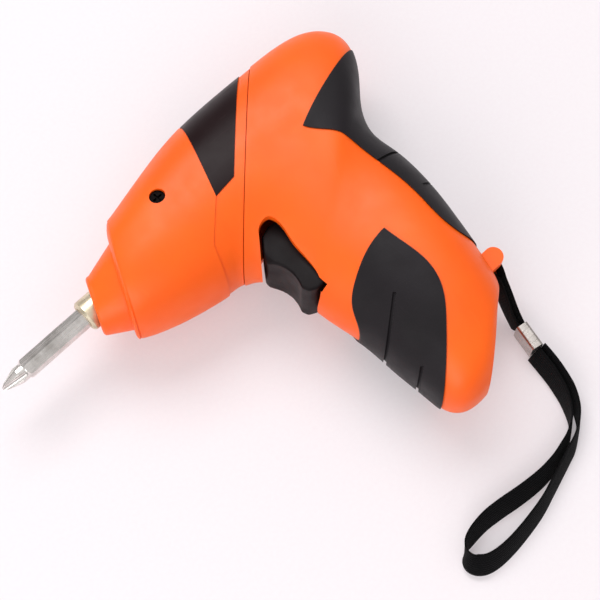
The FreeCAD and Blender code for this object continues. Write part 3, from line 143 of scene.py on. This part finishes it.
class Finish:
    """One material: a shader with fixed numbers on its own sockets, and the nodes that vary it."""

    def __init__(self, name, space="Object", **fixed):
        self.material = bpy.data.materials.new(name)
        self.material.use_nodes = True
        self.tree = self.material.node_tree
        self.shader = self.tree.nodes["Principled BSDF"]
        for socket, number in fixed.items():
            self.shader.inputs[socket.replace("_", " ")].default_value = number
        self.place = self.add("ShaderNodeTexCoord").outputs[space]

    def add(self, kind, **settings):
        node = self.tree.nodes.new(kind)
        for name, choice in settings.items():
            setattr(node, name, choice)
        return node

    def feed(self, socket, source):
        """Sets a socket to a number or colour, or links it to another socket."""
        if isinstance(source, bpy.types.NodeSocket):
            self.tree.links.new(source, socket)
        else:
            socket.default_value = source

    def stretched(self, scale, turn=(0, 0, 0)):
        """The surface's coordinates, scaled and turned."""
        node = self.add("ShaderNodeMapping")
        self.feed(node.inputs["Vector"], self.place)
        node.inputs["Scale"].default_value = scale
        node.inputs["Rotation"].default_value = turn
        return node.outputs["Vector"]

    def noise(self, scale, detail=2.0, rough=0.5, place=None):
        node = self.add("ShaderNodeTexNoise")
        self.feed(node.inputs["Vector"], place or self.place)
        node.inputs["Scale"].default_value = scale
        node.inputs["Detail"].default_value = detail
        node.inputs["Roughness"].default_value = rough
        return node.outputs["Fac"]

    def spread(self, source, low, high, from_low=0.0, from_high=1.0):
        """A source stretched to a new range and held inside it."""
        node = self.add("ShaderNodeMapRange")
        self.feed(node.inputs["Value"], source)
        node.inputs["From Min"].default_value = from_low
        node.inputs["From Max"].default_value = from_high
        node.inputs["To Min"].default_value = low
        node.inputs["To Max"].default_value = high
        return node.outputs["Result"]

    def math(self, operation, first, second=0.0):
        node = self.add("ShaderNodeMath", operation=operation)
        self.feed(node.inputs[0], first)
        self.feed(node.inputs[1], second)
        return node.outputs["Value"]

    def times(self, source, factor):
        return self.math("MULTIPLY", source, factor)

    def wave(self, source, turns):
        """Rounded humps along a source, with so many humps to one unit."""
        return self.math("ABSOLUTE", self.math("SINE", self.times(source, math.pi * turns)))

    def mix(self, factor, first, second):
        node = self.add("ShaderNodeMix", data_type="RGBA")
        self.feed(node.inputs[MIX_FACTOR], factor)
        self.feed(node.inputs[MIX_FIRST], first)
        self.feed(node.inputs[MIX_SECOND], second)
        return node.outputs[MIX_RESULT]

    def colour(self, source):
        self.feed(self.shader.inputs["Base Color"], source)

    def roughness(self, source):
        self.feed(self.shader.inputs["Roughness"], source)

    def bump(self, *reliefs):
        """Stacks bumps, the first one lowest."""
        normal = None
        for relief in reliefs:
            node = self.add("ShaderNodeBump")
            node.inputs["Strength"].default_value = relief.strength
            node.inputs["Distance"].default_value = relief.depth
            self.feed(node.inputs["Height"], relief.height)
            if normal:
                self.feed(node.inputs["Normal"], normal)
            normal = node.outputs["Normal"]
        self.feed(self.shader.inputs["Normal"], normal)


def moulded(name, tone, deep, scuff, rough, grain, grain_depth, **fixed):
    """Moulded plastic or rubber: fine eroded grain, uneven sheen and faint scuffs."""
    finish = Finish(name, **fixed)
    patches = finish.spread(finish.noise(scale=38, detail=3), low=0, high=1, from_low=0.35, from_high=0.65)
    body = finish.mix(patches, tone, deep)
    slanted = finish.stretched(scale=(1, 0.12, 0.5), turn=(0.3, 0.2, 0.7))
    streaks = finish.noise(scale=420, detail=4, rough=0.6, place=slanted)
    scuffs = finish.spread(streaks, low=0, high=0.16, from_low=0.64, from_high=0.78)
    finish.colour(finish.mix(scuffs, body, scuff))
    uneven = finish.noise(scale=150, detail=3)
    sheen = finish.spread(uneven, low=rough - 0.05, high=rough + 0.07, from_low=0.3, from_high=0.7)
    finish.roughness(finish.math("ADD", sheen, finish.times(scuffs, 0.12)))
    swells = Relief(finish.noise(scale=60, detail=1), strength=0.12, depth=0.0004)
    fine = Relief(finish.noise(scale=grain, detail=2, rough=0.6), strength=0.35, depth=grain_depth)
    finish.bump(swells, fine)
    return finish.material


def metal(name, tone, deep, rough, brush, lengthwise=True, metallic=1.0):
    """Machined or plated metal with fine tool marks and uneven polish."""
    finish = Finish(name, Metallic=metallic)
    stretch = (0.06, 1, 1) if lengthwise else (1, 0.06, 0.06)
    marks = finish.noise(scale=brush, detail=3, rough=0.6, place=finish.stretched(stretch))
    stains = finish.noise(scale=180, detail=4, rough=0.6)
    finish.colour(finish.mix(finish.spread(stains, low=0, high=1, from_low=0.4, from_high=0.7), tone, deep))
    finish.roughness(finish.spread(marks, low=rough - 0.07, high=rough + 0.12, from_low=0.3, from_high=0.7))
    finish.bump(Relief(marks, strength=0.18, depth=0.00006))
    return finish.material


def glossy_label():
    """Gloss black film with fine hairline scratches and a soft unevenness."""
    finish = Finish("gloss_label", Specular_IOR_Level=0.12)
    slanted = finish.stretched(scale=(0.05, 1, 0.4), turn=(0, 0, 0.8))
    hairs = finish.noise(scale=900, detail=3, rough=0.6, place=slanted)
    scratches = finish.spread(hairs, low=0, high=1, from_low=0.64, from_high=0.72)
    finish.colour(finish.mix(scratches, screen(28, 13, 15), screen(42, 28, 30)))
    smears = finish.noise(scale=120, detail=3)
    gloss = finish.spread(smears, low=0.30, high=0.42, from_low=0.3, from_high=0.7)
    finish.roughness(finish.math("ADD", gloss, finish.times(scratches, 0.2)))
    finish.bump(Relief(finish.noise(scale=160, detail=1), strength=0.05, depth=0.0003))
    return finish.material


def woven():
    """Flat nylon webbing, in millimetres: ribs along the band in staggered picks, with a little fuzz."""
    ribs_to_unit = 1.25
    picks_to_unit = 0.9
    stagger = 0.5
    weave_share = 0.7
    finish = Finish("woven_webbing", "UV", Sheen_Weight=0.02, Sheen_Roughness=0.5, Specular_IOR_Level=0.08)
    split = finish.add("ShaderNodeSeparateXYZ")
    finish.feed(split.inputs[0], finish.place)
    along, across = split.outputs["X"], split.outputs["Y"]
    ribs = finish.wave(across, ribs_to_unit)
    row = finish.math("FLOOR", finish.times(across, ribs_to_unit))
    picks = finish.math("ADD", finish.times(along, picks_to_unit), finish.times(row, stagger))
    weave = finish.times(ribs, finish.spread(finish.wave(picks, 1), low=0.35, high=1.0))
    fuzz = finish.noise(scale=9, detail=3)
    shade = finish.math("ADD", finish.times(weave, weave_share), finish.times(fuzz, 1 - weave_share))
    finish.colour(finish.mix(shade, screen(3, 3, 4), screen(13, 12, 14)))
    finish.roughness(finish.spread(fuzz, low=0.72, high=0.92, from_low=0.3, from_high=0.7))
    finish.bump(Relief(weave, strength=0.8, depth=0.0003), Relief(fuzz, strength=0.25, depth=0.0001))
    return finish.material


def shrink_film():
    """Bare shrink film over a cell, with faint wrinkles."""
    finish = Finish("shrink_film", Coat_Weight=0.3)
    wrinkles = finish.noise(scale=300, detail=3, rough=0.6, place=finish.stretched((1, 0.2, 1)))
    finish.colour(finish.mix(finish.noise(scale=90), screen(52, 88, 128), screen(66, 104, 146)))
    finish.roughness(finish.spread(wrinkles, low=0.25, high=0.45, from_low=0.3, from_high=0.7))
    finish.bump(Relief(wrinkles, strength=0.3, depth=0.0002))
    return finish.material


def make_finishes():
    """One material for each slot of the record, and the clip's own metal."""
    return {
        "orange_shell": moulded(
            "orange_moulding",
            tone=screen(253, 100, 14), deep=screen(248, 94, 10), scuff=screen(255, 124, 52), rough=0.42,
            grain=2600, grain_depth=0.00006,
            Specular_IOR_Level=0.33, Subsurface_Weight=0.06, Subsurface_Scale=0.002,
        ),
        "soft_grip": moulded(
            "soft_rubber",
            tone=screen(22, 16, 21), deep=screen(17, 12, 16), scuff=screen(40, 34, 38), rough=0.52,
            grain=1900, grain_depth=0.00010,
            Specular_IOR_Level=0.2, Sheen_Weight=0.03, Sheen_Roughness=0.6,
        ),
        "black_plastic": moulded(
            "black_moulding",
            tone=screen(15, 5, 8), deep=screen(10, 4, 6), scuff=screen(28, 19, 22), rough=0.46,
            grain=2300, grain_depth=0.00006, Specular_IOR_Level=0.14,
        ),
        "grey_nylon": moulded(
            "grey_nylon_moulding",
            tone=screen(146, 147, 149), deep=screen(132, 133, 136), scuff=screen(170, 170, 171), rough=0.5,
            grain=1600, grain_depth=0.00008,
        ),
        "black_label": glossy_label(),
        "tool_steel": metal(
            "ground_steel", tone=screen(238, 232, 228), deep=screen(200, 194, 189), rough=0.24, brush=1500,
        ),
        "nickel": metal(
            "nickel_plate", tone=screen(228, 216, 190), deep=screen(192, 178, 148), rough=0.30, brush=1100,
            lengthwise=False, metallic=0.85,
        ),
        "clip_metal": metal(
            "crimped_tin", tone=screen(194, 187, 182), deep=screen(164, 156, 151), rough=0.28, brush=1300,
        ),
        "sintered_bronze": metal(
            "porous_bronze", tone=screen(196, 160, 104), deep=screen(158, 124, 76), rough=0.45, brush=900,
        ),
        "motor_steel": metal(
            "motor_can_steel", tone=screen(200, 200, 202), deep=screen(172, 172, 175),
            rough=0.33, brush=1200,
        ),
        # Near-black screw steel: painted shade of the deep hole in the nose cap where the screw sits
        "screw_steel": metal(
            "screw_steel_painted_hole_shade", tone=screen(20, 17, 17), deep=screen(12, 10, 10), rough=0.5, brush=1400,
            lengthwise=False,
        ),
        "cell_jacket": shrink_film(),
        "webbing": woven(),
    }


def make_camera():
    data = bpy.data.cameras.new("photo_camera")
    data.lens = CAMERA_LENS
    data.sensor_width = CAMERA_SENSOR
    data.clip_start = CAMERA_NEAREST
    camera = show("photo_camera", data)
    backward = (CAMERA_PLACE - CAMERA_TARGET).normalized()
    right = CAMERA_RIGHT.normalized()
    upward = backward.cross(right)
    turn = Matrix((right, upward, backward)).transposed()
    camera.matrix_world = Matrix.Translation(CAMERA_PLACE) @ turn.to_4x4()
    bpy.context.scene.camera = camera


def smooth_route(name, points):
    """Points along a NURBS spline whose control points are the route, in metres."""
    curve = bpy.data.curves.new(name, "CURVE")
    curve.dimensions = "3D"
    curve.resolution_u = ROUTE_STEPS
    spline = curve.splines.new("NURBS")
    spline.points.add(len(points) - 1)
    for point, place in zip(spline.points, points):
        point.co = (*place, 1.0)
    spline.order_u = 3
    spline.use_endpoint_u = True
    holder = show(name, curve)
    bpy.context.view_layer.update()
    mesh = bpy.data.meshes.new_from_object(holder)
    places = [vertex.co.copy() for vertex in mesh.vertices]
    bpy.data.objects.remove(holder)
    bpy.data.meshes.remove(mesh)
    bpy.data.curves.remove(curve)
    return places


def band_profile():
    """Half-rounded outline of the webbing, as thickness and width in millimetres."""
    half_width = STRAP_WIDTH / 2
    half_thick = STRAP_THICK / 2
    outline = []
    for side in (1, -1):
        for step in range(SECTION_STEPS + 1):
            height = side * half_width * (1 - 2 * step / SECTION_STEPS)
            edge = abs(height) / half_width
            swell = CROWN_MEAN + CROWN_SWING * math.cos(edge * math.pi) if edge < 1 else SELVEDGE
            outline.append((side * half_thick * swell, height))
    return outline


def band_ring(work, profile, route, index, most_lean):
    """Corners of the band's section at one point of its route, leaning towards the back."""
    ahead = (route[min(index + 1, len(route) - 1)] - route[max(index - 1, 0)]).normalized()
    sideways = ahead.cross(UP).normalized()
    rise = sideways.cross(ahead).normalized()
    lean = most_lean * sideways.dot(STRAP_AWAY)
    wide = rise * math.cos(lean) + sideways * math.sin(lean)
    thick = sideways * math.cos(lean) - rise * math.sin(lean)
    return [work.verts.new(route[index] + (thick * t + wide * w) * MM) for t, w in profile]


def running_lengths(points):
    """Distance from the first point to each of the points, along them."""
    lengths = [0.0]
    for first, second in zip(points, points[1:]):
        lengths.append(lengths[-1] + math.dist(first, second))
    return lengths


def band(name, route, most_lean, finish):
    """A flat webbing band along a route of centre points, with its weave's coordinates in millimetres."""
    work = bmesh.new()
    uv_layer = work.loops.layers.uv.new("weave")
    profile = band_profile()
    girth = running_lengths(profile + profile[:1])
    reach = [length / MM for length in running_lengths(route)]
    rings = [band_ring(work, profile, route, index, most_lean) for index in range(len(route))]
    count = len(profile)
    for index, (ring, following) in enumerate(zip(rings, rings[1:])):
        for corner in range(count):
            beyond = (corner + 1) % count
            face = work.faces.new((ring[corner], ring[beyond], following[beyond], following[corner]))
            face.smooth = True
            stations = (
                (reach[index], girth[corner]), (reach[index], girth[corner + 1]),
                (reach[index + 1], girth[corner + 1]), (reach[index + 1], girth[corner]),
            )
            for loop, station in zip(face.loops, stations):
                loop[uv_layer].uv = station
    work.faces.new(list(reversed(rings[0])))
    work.faces.new(rings[-1])
    bmesh.ops.recalc_face_normals(work, faces=work.faces[:])
    mesh = bpy.data.meshes.new(name)
    work.to_mesh(mesh)
    work.free()
    mesh.materials.append(finish)
    return show(name, mesh)


def tether_points(middle):
    """Control points of the tether: from the clip up to the lug, round its pin and back down."""
    start = Vector(CLIP_START)
    pin = Vector(LUG_PIN)
    away = (pin - start).normalized()
    side = Vector((-away.y, away.x))
    climb = [(start + (pin - start) * share, depth * middle) for share, depth in TETHER_RISE]
    outward = [(place + side * CLIP_SPREAD, height) for place, height in climb]
    inward = [(place - side * CLIP_SPREAD, height) for place, height in reversed(climb)]
    over = [(pin + (away * ahead + side * aside) * LUG_RING, 0.0) for ahead, aside in TETHER_TURN]
    return [Vector((*place, height)) * MM for place, height in outward + over + inward]


def make_strap(finish):
    """The hand loop as a webbing band, and the short tether round the lug pin that goes with it."""
    middle = STRAP_FLOOR + STRAP_WIDTH / 2
    route = smooth_route("loop_route", [Vector((x, y, middle)) * MM for x, y in STRAP_ROUTE])
    loop = band("hand_loop", route, STRAP_LEAN, finish)
    tether = band("lug_tether", smooth_route("tether_route", tether_points(middle)), 0.0, finish)
    for piece, node in ((loop, "strap_loop"), (tether, "strap_tether")):
        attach(piece, "housing")
        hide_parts(node)


def make_rocker(finish):
    """The rocker with its moulded edges rounded over, in place of the plain solid."""
    draft = show("rocker_draft", NODES["rocker_trigger"].data.copy())
    even = draft.modifiers.new("even_mesh", "REMESH")
    even.mode = "VOXEL"
    even.voxel_size = ROCKER_VOXEL
    soft = draft.modifiers.new("soft_edges", "SMOOTH")
    soft.factor = ROCKER_SOFTNESS
    soft.iterations = ROCKER_SMOOTHING
    bpy.context.view_layer.update()
    mesh = bpy.data.meshes.new_from_object(draft.evaluated_get(bpy.context.evaluated_depsgraph_get()))
    bpy.data.objects.remove(draft)
    mesh.name = "rounded_rocker"
    for polygon in mesh.polygons:
        polygon.use_smooth = True
    mesh.materials.clear()
    mesh.materials.append(finish)
    piece = show("rounded_rocker", mesh)
    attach(piece, "rocker")
    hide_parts("rocker_trigger")


def dress_nodes(finishes):
    """Gives each node of the frame the finish of its own slot, and the clip its own duller metal."""
    for item in NODES.values():
        for slot in item.material_slots:
            slot.material = finishes[slot.material.name]
    NODES["strap_clip"].material_slots[0].material = finishes["clip_metal"]


def floor_paper():
    """Pale paper that stays near white in the picture and keeps the object's shadow."""
    finish = Finish("studio_paper", Roughness=0.85, Specular_IOR_Level=0.2)
    finish.colour(finish.mix(finish.noise(scale=700), screen(231, 222, 226), screen(235, 229, 232)))
    rays = finish.add("ShaderNodeLightPath")
    seen = finish.math("MAXIMUM", rays.outputs["Is Camera Ray"], rays.outputs["Is Glossy Ray"])
    seen = finish.math("MAXIMUM", seen, rays.outputs["Is Transmission Ray"])
    glow = finish.add("ShaderNodeEmission")
    glow.inputs["Color"].default_value = screen(252, 246, 249)
    blend = finish.add("ShaderNodeMixShader")
    finish.feed(blend.inputs[0], finish.times(seen, FLOOR_GLOW))
    finish.feed(blend.inputs[1], finish.shader.outputs[0])
    finish.feed(blend.inputs[2], glow.outputs[0])
    finish.feed(finish.tree.nodes["Material Output"].inputs["Surface"], blend.outputs[0])
    return finish.material


def make_floor():
    work = bmesh.new()
    bmesh.ops.create_grid(work, x_segments=FLOOR_CELLS, y_segments=FLOOR_CELLS, size=FLOOR_REACH)
    mesh = bpy.data.meshes.new("studio_floor")
    work.to_mesh(mesh)
    work.free()
    mesh.materials.append(floor_paper())
    floor = show("studio_floor", mesh)
    floor.location = (0, 0, FLOOR_Z)


def softbox(name, place, size, power):
    data = bpy.data.lights.new(name, "AREA")
    data.shape = "RECTANGLE"
    data.size, data.size_y = size
    data.energy = power
    lamp = show(name, data)
    lamp.location = place
    lamp.rotation_euler = (CAMERA_TARGET - Vector(place)).to_track_quat("-Z", "Y").to_euler()


def make_light():
    """A white studio with a brighter ceiling than walls, and two softboxes."""
    world = bpy.data.worlds.new("studio_world")
    world.use_nodes = True
    tree = world.node_tree
    backdrop = tree.nodes["Background"]
    backdrop.inputs["Color"].default_value = WHITE
    place = tree.nodes.new("ShaderNodeTexCoord")
    split = tree.nodes.new("ShaderNodeSeparateXYZ")
    ramp = tree.nodes.new("ShaderNodeMapRange")
    ramp.inputs["To Min"].default_value = WALL_LIGHT
    ramp.inputs["To Max"].default_value = CEILING_LIGHT
    tree.links.new(place.outputs["Generated"], split.inputs[0])
    tree.links.new(split.outputs["Z"], ramp.inputs["Value"])
    tree.links.new(ramp.outputs["Result"], backdrop.inputs["Strength"])
    bpy.context.scene.world = world
    softbox("key_softbox", place=(0.30, 0.55, 0.95), size=(0.9, 0.6), power=8.2)
    softbox("fill_softbox", place=(-0.70, -0.40, 0.50), size=(0.8, 0.7), power=5.2)


make_camera()
FINISHES = make_finishes()
make_strap(FINISHES["webbing"])
make_rocker(FINISHES["black_plastic"])
dress_nodes(FINISHES)
make_floor()
make_light()
bpy.context.scene.view_settings.view_transform = "Standard"
